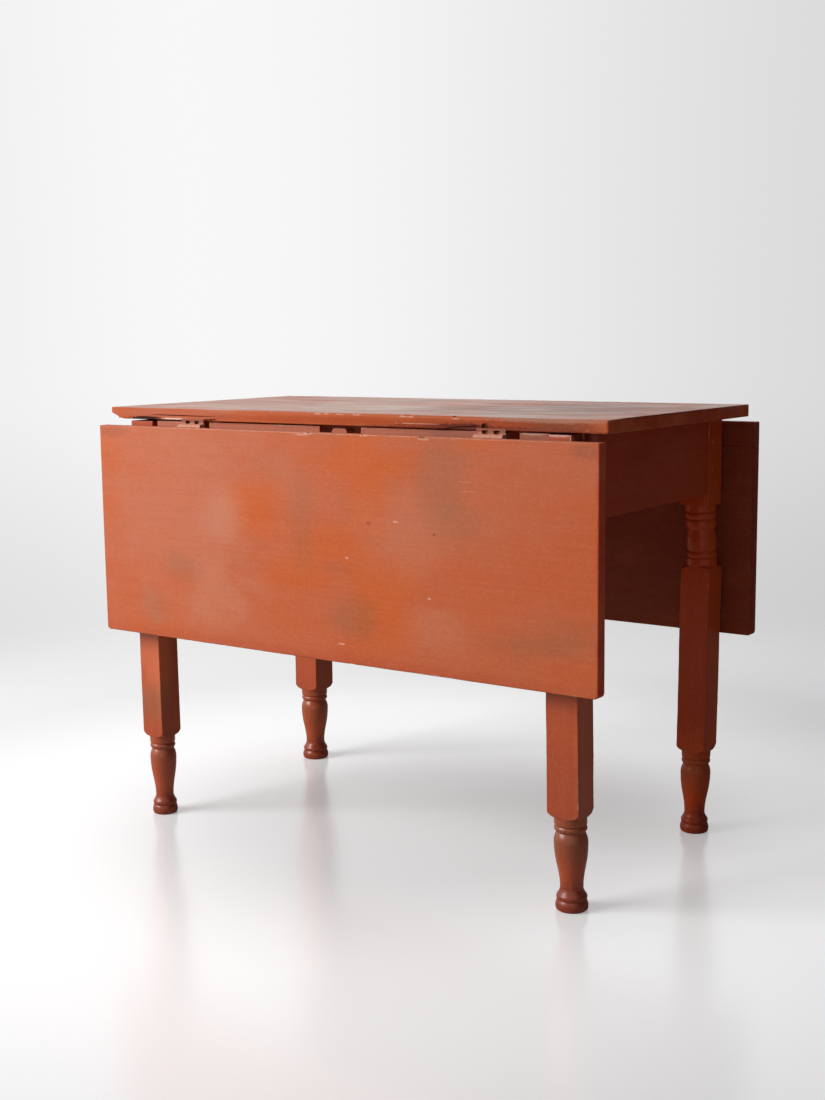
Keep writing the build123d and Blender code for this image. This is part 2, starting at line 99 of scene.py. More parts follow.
def add_node(
    tree: Tree, kind: str, inputs: dict | None = None, **settings: object
) -> bpy.types.Node:
    """Adds a node with its settings and links.

    Args:
        tree: The tree that the node goes into.
        kind: The node's type name.
        inputs: Input name or number to a constant, or to the output that is linked to it.
        **settings: Properties of the node itself.

    Returns:
        The new node.
    """
    node = tree.nodes.new(kind)
    for name, value in settings.items():
        setattr(node, name, value)
    for name, value in (inputs or {}).items():
        if isinstance(value, Socket):
            tree.links.new(value, node.inputs[name])
        else:
            node.inputs[name].default_value = value
    return node


def blank_material(name: str) -> tuple[bpy.types.Material, Tree]:
    """Makes a material with an empty node tree.

    Args:
        name: The material's name.

    Returns:
        The material and its tree.
    """
    material = bpy.data.materials.new(name)
    material.use_nodes = True
    material.node_tree.nodes.clear()
    return material, material.node_tree


def object_place(tree: Tree) -> Socket:
    """Place of the shaded point in the table's frame.

    Args:
        tree: The material's tree.

    Returns:
        The place, in metres.
    """
    return add_node(tree, "ShaderNodeTexCoord").outputs["Object"]


def calculate(tree: Tree, operation: str, *values: Socket | float) -> Socket:
    """Does one step of arithmetic.

    Args:
        tree: The tree.
        operation: The step, by the name that a math node gives it.
        *values: What it works on.

    Returns:
        The result.
    """
    return add_node(tree, "ShaderNodeMath", dict(enumerate(values)), operation=operation).outputs[0]


def smooth_step(
    tree: Tree, value: Socket, limits: tuple[float, float], levels: tuple[float, float] = (0.0, 1.0)
) -> Socket:
    """Goes smoothly from one level to another.

    Args:
        tree: The tree.
        value: What it follows.
        limits: Values where the step starts and ends.
        levels: Levels before and after it.

    Returns:
        The level.
    """
    ranged = add_node(
        tree,
        "ShaderNodeMapRange",
        {0: value, 1: limits[0], 2: limits[1], 3: levels[0], 4: levels[1]},
        interpolation_type="SMOOTHSTEP",
    )
    return ranged.outputs[0]


def blend(
    tree: Tree, colour: Socket | str, mask: Socket, other: str, strength: float = 1.0
) -> Socket:
    """Lays another colour over a colour through a mask.

    Args:
        tree: The material's tree.
        colour: The colour so far, or one as "#RRGGBB".
        mask: Where the other colour shows.
        other: The other colour.
        strength: The most that it covers, from 0 to 1.

    Returns:
        The mixed colour.
    """
    share = calculate(tree, "MULTIPLY", mask, strength)
    under = linear(colour) if isinstance(colour, str) else colour
    inputs = {0: share, 6: under, 7: linear(other)}
    return add_node(tree, "ShaderNodeMix", inputs, data_type="RGBA").outputs[2]


SMALL_PATCH = 7.5  # millimetres: patches with a narrower side are scratches, chips and thin bands of painted shade and highlight


@dataclass(frozen=True)
class Patch:
    """A soft-edged area of another colour in the paint.

    Attributes:
        at: Its middle, in millimetres in the table's frame.
        size: Its half width along each axis, in millimetres.
        colour: Its colour.
        strength: How far it covers the paint at its middle, from 0 to 1.
    """

    at: tuple[float, float, float]
    size: tuple[float, float, float]
    colour: str
    strength: float

    @property
    def small(self) -> bool:
        """Says whether it is narrow, as scratches, chips and thin bands of painted shade and
        highlight are, and not a cloud.
        """
        return min(self.size) < SMALL_PATCH


@dataclass(frozen=True)
class OldPaint:
    """Old terracotta oil paint, brushed by hand over softwood.

    It gives the eye a satin skin whose colour drifts between salmon, orange and a dull brown,
    a tooth like canvas with faint raised grain under it, and pale rubbed arrises.

    Attributes:
        name: The material's name.
        grain: Which way the wood and the brush strokes run.
        base: Main colour.
        warm: Brighter orange that shows in broad clouds.
        dull: Brown of handled and dirty areas.
        rubbed: Pale colour of worn arrises and scuffs.
        roughness: Lowest and highest roughness.
        specular: Specular level of the paint film.
        haze: How far a pale bloom, partly painted sheen, covers the paint in streaks, from 0 to 1.
        haze_from: Height above which the bloom and painted sheen lie, in millimetres.
        coat: Weight of the waxed sheen over the paint.
        streak: How far the grain lines show, from 0 to 1.
        patches: Single areas of another colour: stains and wear, and in places painted shade,
            highlight and reflection.
        seed: Moves the patterns from one material to the next, in metres.
    """

    name: str
    grain: Grain
    base: str = "#C46138"
    warm: str = "#C65B2A"
    dull: str = "#9C5C3A"
    rubbed: str = "#DDA78F"
    roughness: tuple[float, float] = (0.48, 0.62)
    specular: float = 0.3
    haze: float = 0.0
    haze_from: float = 735.4
    coat: float = 0.0
    streak: float = 0.03
    patches: tuple[Patch, ...] = ()
    seed: float = 0.0

    def noise(
        self, tree: Tree, along: float, across: float, detail: float, shift: float
    ) -> Socket:
        """Noise drawn out along the grain.

        Args:
            tree: The material's tree.
            along: Size along the grain, in millimetres.
            across: Size across the grain, in millimetres.
            detail: Octaves of finer noise.
            shift: Moves the pattern away from its neighbours, in pattern widths.

        Returns:
            The noise's value.
        """
        mapping = add_node(
            tree,
            "ShaderNodeMapping",
            {
                "Vector": object_place(tree),
                "Scale": self.grain.scale(along, across),
                "Location": (shift + self.seed, shift * 1.7, self.seed - shift),
            },
        )
        texture = add_node(
            tree,
            "ShaderNodeTexNoise",
            {"Vector": mapping.outputs["Vector"], "Scale": 1.0, "Detail": detail, "Roughness": 0.55},
        )
        return texture.outputs["Fac"]

    def patch_mask(self, tree: Tree, patch: Patch, ragged: Socket) -> Socket:
        """Soft oval around a patch's middle, with a ragged edge.

        Args:
            tree: The material's tree.
            patch: The patch.
            ragged: Noise that tears the oval's edge.

        Returns:
            The mask, 1 at the middle.
        """
        centred = add_node(
            tree,
            "ShaderNodeMapping",
            {
                "Vector": object_place(tree),
                "Scale": tuple(1 / (size * MM) for size in patch.size),
                "Location": tuple(-at / size for at, size in zip(patch.at, patch.size)),
            },
        )
        distance = add_node(
            tree, "ShaderNodeVectorMath", {0: centred.outputs["Vector"]}, operation="LENGTH"
        )
        torn = calculate(tree, "MULTIPLY_ADD", ragged, 1.5, distance.outputs["Value"])
        limits = (1.4, 1.9) if patch.small else (1.05, 2.15)
        return smooth_step(tree, torn, limits, (1.0, 0.0))

    def colour(self, tree: Tree, streaks: Socket) -> Socket:
        """Builds the paint's colour.

        Args:
            tree: The material's tree.
            streaks: Grain lines.

        Returns:
            The colour.
        """
        # Clouds of colour, about as broad as a hand or a forearm.
        clouds = smooth_step(tree, self.noise(tree, 230, 120, 3, 0.0), (0.42, 0.66))
        base = blend(tree, self.base, clouds, self.warm)
        dirt = smooth_step(tree, self.noise(tree, 170, 95, 4, 5.0), (0.56, 0.76))
        colour = blend(tree, base, dirt, self.dull, 0.35)
        cloud_edge = self.noise(tree, 75, 50, 3, 6.0)
        narrow_mark_edge = self.noise(tree, 6, 2.5, 3, 8.0)
        for patch in self.patches:
            mask = self.patch_mask(tree, patch, narrow_mark_edge if patch.small else cloud_edge)
            colour = blend(tree, colour, mask, patch.colour, patch.strength)

        # Grain lines, 2.5 mm apart, and a tooth like canvas, that show through the paint.
        tooth = self.noise(tree, 5.5, 2.6, 2, 13.0)
        for lines, limits, shade, strength in (
            (streaks, (0.4, 0.7), "#7A3018", self.streak),
            (streaks, (0.6, 0.35), "#E59A78", self.streak),
            (tooth, (0.5, 0.7), "#7A331C", 0.06),
            (tooth, (0.5, 0.3), "#E8A88C", 0.06),
        ):
            colour = blend(tree, colour, smooth_step(tree, lines, limits), shade, strength)
        # Dirt specks and pinholes of about 1 mm.
        specks = smooth_step(tree, self.noise(tree, 2.2, 1.3, 1, 3.0), (0.76, 0.82))
        colour = blend(tree, colour, specks, "#4A2014", 0.4)

        # Pale scuffs and rubbed arrises, from the wear stored on the mesh.
        wear = add_node(tree, "ShaderNodeAttribute", attribute_name="wear").outputs["Fac"]
        rub = calculate(tree, "MULTIPLY", wear, self.noise(tree, 14, 4, 4, 2.0))
        colour = blend(tree, colour, smooth_step(tree, rub, (0.4, 0.62)), self.rubbed, 0.7)
        # Pale streaks on faces above haze_from: partly a bloom in the paint, partly painted sheen
        # where the top reflects the bright room.
        if self.haze:
            height = add_node(tree, "ShaderNodeSeparateXYZ", {0: object_place(tree)}).outputs["Z"]
            upper = smooth_step(tree, height, (self.haze_from * MM, (self.haze_from + 1.2) * MM))
            bloom = smooth_step(tree, self.noise(tree, 420, 60, 5, 11.0), (0.4, 0.62))
            bloom_and_sheen = calculate(tree, "MULTIPLY", bloom, upper)
            colour = blend(tree, colour, bloom_and_sheen, "#C29478", self.haze)
        return colour

    def build(self) -> bpy.types.Material:
        """Makes the material."""
        material, tree = blank_material(self.name)
        streaks = self.noise(tree, 240, 2.5, 4, 9.0)
        sheen = self.noise(tree, 120, 40, 4, 7.0)
        # Raised grain and brush lines, up to 0.12 mm high, under a finer tooth.
        brush = self.noise(tree, 60, 1.3, 3, 4.0)
        relief = calculate(tree, "MULTIPLY_ADD", streaks, 1.3, brush)
        bump = add_node(
            tree, "ShaderNodeBump", {"Height": relief, "Strength": 0.4, "Distance": 0.12 * MM}
        )
        surface = add_node(
            tree,
            "ShaderNodeBsdfPrincipled",
            {
                "Base Color": self.colour(tree, streaks),
                "Roughness": smooth_step(tree, sheen, (0.35, 0.65), self.roughness),
                "Normal": bump.outputs["Normal"],
                "Specular IOR Level": self.specular,
                "Coat Weight": self.coat,
                "Coat Roughness": 0.2,
            },
        )
        add_node(tree, "ShaderNodeOutputMaterial", {"Surface": surface.outputs["BSDF"]})
        return material


@dataclass(frozen=True)
class BarePine:
    """Planed pine that was never painted, browned by age.

    It gives the eye honey brown wood with darker year rings about 4 mm apart.

    Attributes:
        name: The material's name.
        early: Colour of the soft wood between the rings.
        late: Colour of the rings.
        specular: Specular level.
    """

    name: str = "bare_aged_pine"
    early: str = "#B08A5E"
    late: str = "#7E5632"
    specular: float = 0.5

    def build(self) -> bpy.types.Material:
        """Makes the material."""
        material, tree = blank_material(self.name)
        drawn = add_node(
            tree,
            "ShaderNodeMapping",
            {"Vector": object_place(tree), "Scale": Grain.ALONG_Y.scale(160, 4)},
        )
        rings = add_node(
            tree,
            "ShaderNodeTexNoise",
            {"Vector": drawn.outputs["Vector"], "Scale": 1.0, "Detail": 3.0, "Distortion": 0.6},
        )
        bump = add_node(
            tree,
            "ShaderNodeBump",
            {"Height": rings.outputs["Fac"], "Strength": 0.5, "Distance": 0.15 * MM},
        )
        surface = add_node(
            tree,
            "ShaderNodeBsdfPrincipled",
            {
                "Base Color": blend(tree, self.early, rings.outputs["Fac"], self.late),
                "Roughness": 0.72,
                "Normal": bump.outputs["Normal"],
                "Specular IOR Level": self.specular,
            },
        )
        add_node(tree, "ShaderNodeOutputMaterial", {"Surface": surface.outputs["BSDF"]})
        return material


@dataclass(frozen=True)
class OldIron:
    """Wrought iron, handled dark, with rust in its pores.

    It gives the eye a dull near-black metal with brown blotches about 3 mm across.

    Attributes:
        name: The material's name.
        metal: Colour of the rubbed metal.
        rust: Colour of the rust.
    """

    name: str = "dark_iron"
    metal: str = "#4A423D"
    rust: str = "#4E2A1A"

    def build(self) -> bpy.types.Material:
        """Makes the material."""
        material, tree = blank_material(self.name)
        scaled = add_node(
            tree,
            "ShaderNodeMapping",
            {"Vector": object_place(tree), "Scale": Grain.ALONG_X.scale(3, 3)},
        )
        blotches = add_node(
            tree,
            "ShaderNodeTexNoise",
            {"Vector": scaled.outputs["Vector"], "Scale": 1.0, "Detail": 4.0},
        )
        mask = add_node(
            tree, "ShaderNodeMapRange", {0: blotches.outputs["Fac"], 1: 0.4, 2: 0.62}
        ).outputs[0]
        colour = blend(tree, self.metal, mask, self.rust)
        shine = add_node(tree, "ShaderNodeMapRange", {0: mask, 3: 0.85, 4: 0.1}).outputs[0]
        roughness = add_node(tree, "ShaderNodeMapRange", {0: mask, 3: 0.42, 4: 0.8}).outputs[0]
        surface = add_node(
            tree,
            "ShaderNodeBsdfPrincipled",
            {"Base Color": colour, "Metallic": shine, "Roughness": roughness},
        )
        add_node(tree, "ShaderNodeOutputMaterial", {"Surface": surface.outputs["BSDF"]})
        return material


# ---- Geometry ----

WELD = 0.005 * MM  # corners nearer than this are one
ON_PLANE = 0.02 * MM  # corners nearer than this to a cut line's plane lie on it
SHARP = math.radians(32)  # edges that turn more keep their crease
GOUGE_PITCH = 7.0  # millimetres between the bulges of a gouge's sides
GOUGE_POINT = 0.97  # how far a fully tapered gouge closes at its ends
ARRIS_LINES = (0.6, 1.6, 3.2, 6.5)  # millimetres from an arris to the lines cut beside it
OUTER_SKIN = 0.3 * MM  # wear shows only this near the outer faces, not in chips and turnings
WAVED_SKIN = 1.5 * MM  # faces this near the outer ones stand below flat here and there


def merged_copy(node: str) -> bmesh.types.BMesh:
    """Copies a CAD node's mesh and joins its loose triangles.

    Args:
        node: The node's name.

    Returns:
        The copy, in the table's frame.
    """
    bm = bmesh.new()
    bm.from_mesh(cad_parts[node].data)
    bmesh.ops.remove_doubles(bm, verts=bm.verts, dist=WELD)
    return bm


def cut_lines(bm: bmesh.types.BMesh, axis: int, places: Iterable[float]) -> None:
    """Cuts edge loops into a mesh where planes across one axis meet it.

    Args:
        bm: The mesh.
        axis: Number of the axis.
        places: Where the planes stand on that axis, in metres.
    """
    normal = Vector((0, 0, 0))
    normal[axis] = 1
    for place in places:
        bmesh.ops.bisect_plane(
            bm,
            geom=bm.verts[:] + bm.edges[:] + bm.faces[:],
            dist=ON_PLANE,
            plane_co=normal * place,
            plane_no=normal,
        )


def finish_piece(
    name: str,
    bm: bmesh.types.BMesh,
    material: bpy.types.Material,
    body: str,
    replaced: Iterable[str] = (),
) -> bpy.types.Object:
    """Turns a mesh into a piece of the table.

    Args:
        name: The piece's name.
        bm: The mesh, which is freed.
        material: Its finish.
        body: The CAD body that it moves with.
        replaced: CAD nodes that it stands for.

    Returns:
        The piece.
    """
    for face in bm.faces:
        face.smooth = True
    for edge in bm.edges:
        edge.smooth = not edge.is_manifold or edge.calc_face_angle(0.0) < SHARP
    mesh = bpy.data.meshes.new(name)
    bm.to_mesh(mesh)
    bm.free()
    mesh.materials.append(material)
    piece = bpy.data.objects.new(name, mesh)
    bpy.context.scene.collection.objects.link(piece)
    weighted = piece.modifiers.new("weighted_normals", "WEIGHTED_NORMAL")
    weighted.keep_sharp = True
    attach(piece, body)
    if replaced:
        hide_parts(*replaced)
    log.info("%s: %d faces on %s", name, len(mesh.polygons), body)
    return piece


@dataclass(frozen=True)
class Gouge:
    """A chip, split or bite taken out of a board.

    Attributes:
        at: Its middle, in millimetres in the table's frame.
        size: Its full size along each axis, in millimetres.
        turn: Degrees that it is turned about Y.
        taper: How far it narrows to its ends, from 0 to 1.
        ragged: How far its sides wander, as a share of its size.
    """

    at: tuple[float, float, float]
    size: tuple[float, float, float]
    turn: float = 0.0
    taper: float = 1.0
    ragged: float = 0.45

    def shape(self) -> bmesh.types.BMesh:
        """Makes the closed shape that is taken out.

        Returns:
            The shape, in the table's frame.
        """
        bm = bmesh.new()
        bmesh.ops.create_cube(bm, size=1.0)
        lengthwise = [e for e in bm.edges if abs(e.verts[0].co.x - e.verts[1].co.x) > 0.5]
        bmesh.ops.subdivide_edges(
            bm, edges=lengthwise, cuts=max(4, round(self.size[0] / 4)), use_grid_fill=True
        )
        stretch = Vector(self.size) * MM
        tilt = Matrix.Rotation(math.radians(self.turn), 3, "Y")
        for vert in bm.verts:
            width = 1 - self.taper * abs(2 * vert.co.x) ** 3 * GOUGE_POINT
            at = (vert.co * stretch / MM + Vector(self.at)) / GOUGE_PITCH
            vert.co.y *= width * (1 + self.ragged * noise.noise(at))
            vert.co.z *= width * (1 + self.ragged * noise.noise(at + Vector((9, 4, 2))))
            vert.co = tilt @ (vert.co * stretch) + Vector(self.at) * MM
        bmesh.ops.recalc_face_normals(bm, faces=bm.faces)
        return bm


def carve(bm: bmesh.types.BMesh, gouges: Iterable[Gouge]) -> None:
    """Takes gouges out of a closed mesh.

    Args:
        bm: The mesh, which is changed.
        gouges: What is taken out.
    """
    cutters = bmesh.new()
    for gouge in gouges:
        shape = gouge.shape()
        mesh = bpy.data.meshes.new("gouge")
        shape.to_mesh(mesh)
        shape.free()
        cutters.from_mesh(mesh)
        bpy.data.meshes.remove(mesh)
    helpers = []
    for name, source in (("uncut", bm), ("cutters", cutters)):
        mesh = bpy.data.meshes.new(name)
        source.to_mesh(mesh)
        helpers.append(bpy.data.objects.new(name, mesh))
        bpy.context.scene.collection.objects.link(helpers[-1])
    cutters.free()
    board, tool = helpers
    cut = board.modifiers.new("cut", "BOOLEAN")
    cut.operation = "DIFFERENCE"
    cut.solver = "EXACT"
    cut.use_self = True
    cut.object = tool
    result = board.evaluated_get(bpy.context.evaluated_depsgraph_get()).to_mesh()
    bm.clear()
    bm.from_mesh(result)
    for helper in helpers:
        mesh = helper.data
        bpy.data.objects.remove(helper)
        bpy.data.meshes.remove(mesh)


@dataclass
class Timber:
    """One wooden piece, worn by hand and foot.

    Attributes:
        node: The CAD node that it stands for.
        body: The body that it moves with.
        paint: Its finish.
        grain: Which way its fibres run.
        pitch: Distance between cut lines along the grain, in millimetres.
        reach: How far from an arris the wear shows, in millimetres.
        rounding: Radius that its arrises are worn to, in millimetres.
        waviness: How far a face may stand below flat, in millimetres.
        gouges: Chips and splits in it.
        slot: A material slot name; not used.
        other_finish: Finish of the faces that other_face picks.
        low: Lowest corner of the solid.
        high: Its highest corner.
    """

    node: str
    body: str
    paint: bpy.types.Material
    grain: Grain
    pitch: float = 8.0
    reach: float = 5.0
    rounding: float = 1.6
    waviness: float = 0.25
    gouges: tuple[Gouge, ...] = ()
    slot: str = SLOT_WOOD
    other_finish: bpy.types.Material | None = None
    low: Vector = field(init=False)
    high: Vector = field(init=False)

    def build(self) -> bpy.types.Object:
        """Builds the worn piece and puts it in the solid's place."""
        bm = merged_copy(self.node)
        if self.gouges:
            carve(bm, self.gouges)
        self.low, self.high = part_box(self.node)
        self.subdivide(bm)
        self.rub(bm)
        self.bend(bm)
        bm.normal_update()
        for face in bm.faces:
            face.material_index = int(self.other_finish is not None and self.other_face(face))
        piece = finish_piece(self.node + "_worn", bm, self.paint, self.body, [self.node])
        if self.other_finish:
            piece.data.materials.append(self.other_finish)
        return piece

    def other_face(self, face: bmesh.types.BMFace) -> bool:
        """Says whether a face takes the other finish.

        Args:
            face: The face.

        Returns:
            True for all but the upper faces.
        """
        return face.normal.z < 0.85

    def subdivide(self, bm: bmesh.types.BMesh) -> None:
        """Cuts lines across the grain and beside the arrises.

        Args:
            bm: The mesh.
        """
        low, high = self.low, self.high
        length = high[self.grain.value] - low[self.grain.value]
        count = max(2, round(length / (self.pitch * MM)))
        cut_lines(
            bm,
            self.grain.value,
            (low[self.grain.value] + length * number / count for number in range(1, count)),
        )
        for axis in range(3):
            span = high[axis] - low[axis]
            near = [step * MM for step in ARRIS_LINES if step * MM < span / 2.5]
            places = [low[axis] + step for step in near] + [high[axis] - step for step in near]
            cut_lines(bm, axis, places)

    def radius(self, place: Vector) -> float:
        """Radius that an arris is worn to at one place, in metres.

        Args:
            place: The place.

        Returns:
            The radius.
        """
        uneven = 1 + 0.55 * noise.noise(place * 14.0) + 0.4 * noise.noise(place * 60.0)
        return self.rounding * MM * max(0.2, uneven)

    def rub(self, bm: bmesh.types.BMesh) -> None:
        """Wears the arrises round and waves the faces, always towards the inside.

        Args:
            bm: The mesh.
        """
        low, high = self.low, self.high
        wear = bm.verts.layers.float.new("wear")
        for vert in bm.verts:
            inward = [1 if vert.co[a] - low[a] < high[a] - vert.co[a] else -1 for a in range(3)]
            gaps = [min(vert.co[a] - low[a], high[a] - vert.co[a]) for a in range(3)]
            first, second = sorted(range(3), key=gaps.__getitem__)[:2]
            nearness = max(0.0, 1 - gaps[second] / (self.reach * MM))
            if gaps[first] > OUTER_SKIN:
                nearness = 0.0
            vert[wear] = min(1.0, nearness * (0.8 + noise.noise(vert.co * 9.0)))
            radius = self.radius(vert.co)
            over = Vector((radius - gaps[first], radius - gaps[second]))
            if gaps[second] < radius and over.length > radius:
                over *= radius / over.length
                vert.co[first] += inward[first] * (radius - over.x - gaps[first])
                vert.co[second] += inward[second] * (radius - over.y - gaps[second])
            elif gaps[first] < WAVED_SKIN:
                wave = 0.5 + noise.noise(vert.co * 11.0 + Vector((3, 1, 7)))
                vert.co[first] += inward[first] * self.waviness * MM * min(1.0, max(0.0, wave))

    def bend(self, bm: bmesh.types.BMesh) -> None:
        """Bends the piece, which a plain board doesn't do.

        Args:
            bm: The mesh.
        """


@dataclass
class TopBoard(Timber):
    """The fixed top, whose upper front arris is worn most.

    Attributes:
        front_rounding: Radius of that arris at its left and right end, in millimetres.
        front_reach: How far from that arris the radius applies, in millimetres.
    """

    front_rounding: tuple[float, float] = (2.2, 6.0)
    front_reach: float = 9.0

    def radius(self, place: Vector) -> float:
        """Radius that an arris is worn to at one place, in metres.

        Args:
            place: The place.

        Returns:
            The radius.
        """
        reach = self.front_reach * MM
        if place.y - self.low.y < reach and self.high.z - place.z < reach:
            share = (place.x - self.low.x) / (self.high.x - self.low.x)
            left, right = self.front_rounding
            return (left + (right - left) * share) * MM * (1 + 0.35 * noise.noise(place * 12.0))
        return super().radius(place)


@dataclass
class Leg(Timber):
    """A turned leg, a little off its drawing below the aprons as handwork is.

    Attributes:
        girth: Its width against the drawing's.
        lean: Heights and how far the leg stands off to +X there, in millimetres.
        turn: Degrees that it is turned about its own axis.
        sawn: How far below its top the sawn end grain still shows, in millimetres.
        onset: Height below the aprons over which girth and turn set in, in millimetres.
    """

    girth: float = 1.0
    lean: tuple[tuple[float, float], ...] = ()
    turn: float = 0.0
    sawn: float = 4.0
    onset: float = 30.0

    def other_face(self, face: bmesh.types.BMFace) -> bool:
        """Says whether a face takes the other finish.

        Args:
            face: The face.

        Returns:
            True for the sawn end grain on top.
        """
        return face.normal.z > 0.9 and face.calc_center_median().z > self.high.z - self.sawn * MM

    def drift(self, height: float) -> float:
        """How far the leg stands off to +X at a height.

        Args:
            height: The height, in millimetres.

        Returns:
            The distance, in millimetres.
        """
        for (below, start), (above, end) in zip(self.lean, self.lean[1:]):
            if below <= height <= above:
                share = (height - below) / (above - below)
                return start + (end - start) * share * share * (3 - 2 * share)
        return 0.0

    def bend(self, bm: bmesh.types.BMesh) -> None:
        """Gives the leg its own girth, lean and turn below the aprons.

        Args:
            bm: The mesh.
        """
        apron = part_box("left_end_apron")[0].z
        middle = (self.low + self.high) / 2
        for vert in bm.verts:
            share = min(1.0, max(0.0, (apron - vert.co.z) / (self.onset * MM)))
            offset = Vector((vert.co.x - middle.x, vert.co.y - middle.y, 0))
            offset *= 1 + (self.girth - 1) * share
            offset.rotate(Euler((0, 0, math.radians(self.turn) * share)))
            vert.co.x = middle.x + offset.x + self.drift(vert.co.z / MM) * MM
            vert.co.y = middle.y + offset.y


# ---- The table ----


ORANGE = "#CB5A18"
MILKY = "#CB8466"
OLIVE = "#93613F"
BROKEN_WOOD = "#D9A68F"

LEAF_PAINT = OldPaint(
    "terracotta_oil_paint_on_leaf",
    Grain.ALONG_X,
    patches=(
        # Paler over the left part of the leaf: painted light, where the lamp falls strongest.
        Patch((-310, -280, 570), (260, 90, 190), "#C87456", 0.6),
        Patch((80, -280, 668), (105, 90, 46), ORANGE, 0.85),
        Patch((105, -280, 612), (42, 90, 60), ORANGE, 0.8),
        Patch((-128, -280, 578), (60, 90, 62), ORANGE, 0.85),
        Patch((25, -280, 535), (85, 90, 40), ORANGE, 0.75),
        Patch((-45, -280, 478), (80, 90, 30), ORANGE, 0.75),
        Patch((125, -280, 445), (66, 90, 84), ORANGE, 0.85),
        Patch((-468, -280, 652), (40, 90, 42), ORANGE, 0.45),
        Patch((-472, -280, 565), (32, 90, 42), ORANGE, 0.45),
        Patch((290, -280, 702), (38, 90, 12), ORANGE, 0.5),
        Patch((-208, -280, 562), (52, 90, 42), "#D59B80", 0.22),
        Patch((-222, -280, 425), (70, 90, 62), MILKY, 0.3),
        Patch((-372, -280, 400), (38, 90, 38), "#A67457", 0.35),
        Patch((-305, -280, 465), (45, 90, 26), OLIVE, 0.3),
        Patch((168, -280, 560), (90, 90, 70), MILKY, 0.22),
        Patch((238, -280, 650), (46, 90, 70), OLIVE, 0.36),
        Patch((262, -280, 580), (62, 90, 36), OLIVE, 0.28),
        Patch((-35, -280, 560), (26, 90, 80), OLIVE, 0.22),
        Patch((225, -280, 420), (60, 90, 36), MILKY, 0.2),
        Patch((62, -280, 415), (52, 90, 36), "#86583A", 0.32),
        Patch((442, -280, 425), (60, 90, 34), OLIVE, 0.22),
        Patch((478, -280, 696), (26, 90, 11), "#7C4830", 0.35),
        Patch((-455, -280, 698), (36, 90, 10), "#7C4830", 0.25),
        Patch((0, -280, 343), (620, 90, 20), "#B54A26", 0.55),
        # Paler line along the top arris: painted highlight of the top face catching the light.
        Patch((0, -276, 708), (620, 14, 2.4), "#DB9C82", 0.6),
        # Saturated deep red on the right end: painted shade colour of an end that lies in shade.
        Patch((504, -270, 525), (7.6, 60, 420), "#B42F00", 0.9),
        Patch((221, -280, 561), (2.6, 90, 2.4), "#3A2018", 0.6),
        Patch((98, -280, 571), (5, 90, 3), "#8E2A1A", 0.5),
        Patch((149, -280, 576), (6, 90, 1.4), "#F0C4AE", 0.5),
        Patch((55, -280, 513), (3.5, 90, 1.8), "#E9BDA8", 0.5),
        Patch((211, -280, 463), (3.5, 90, 2), "#E9BDA8", 0.5),
        Patch((42, -280, 375), (7, 90, 1.8), "#F0C4AE", 0.5),
        Patch((286, -280, 629), (20, 90, 0.9), "#D79A80", 0.3),
        Patch((276, -280, 643), (14, 90, 0.9), "#D79A80", 0.3),
        Patch((-33, -280, 703.5), (15, 90, 1.6), "#E0AE98", 0.5),
        Patch((91, -280, 705.5), (8, 90, 1.6), "#E0AE98", 0.5),
        Patch((-18, -280, 705.5), (9, 90, 2), "#E0AE98", 0.5),
        Patch((203, -280, 703.5), (11, 90, 1.8), "#E0AE98", 0.5),
    ),
)
LEAF_GOUGES = (
    Gouge((-16, -280, 707.5), (16, 9, 4)),
    Gouge((91, -280, 707.5), (12, 8, 3.4)),
    Gouge((201, -280, 707.5), (17, 12, 7)),
    Gouge((-300, -280, 707.5), (10, 6, 2.4)),
    Gouge((340, -280, 707.5), (14, 7, 2.6)),
    Gouge((42, -280, 375), (10, 1.4, 2.4)),
    Gouge((60, -280, 344), (16, 6, 2.6)),
    Gouge((-210, -280, 344), (12, 5, 2.4)),
)
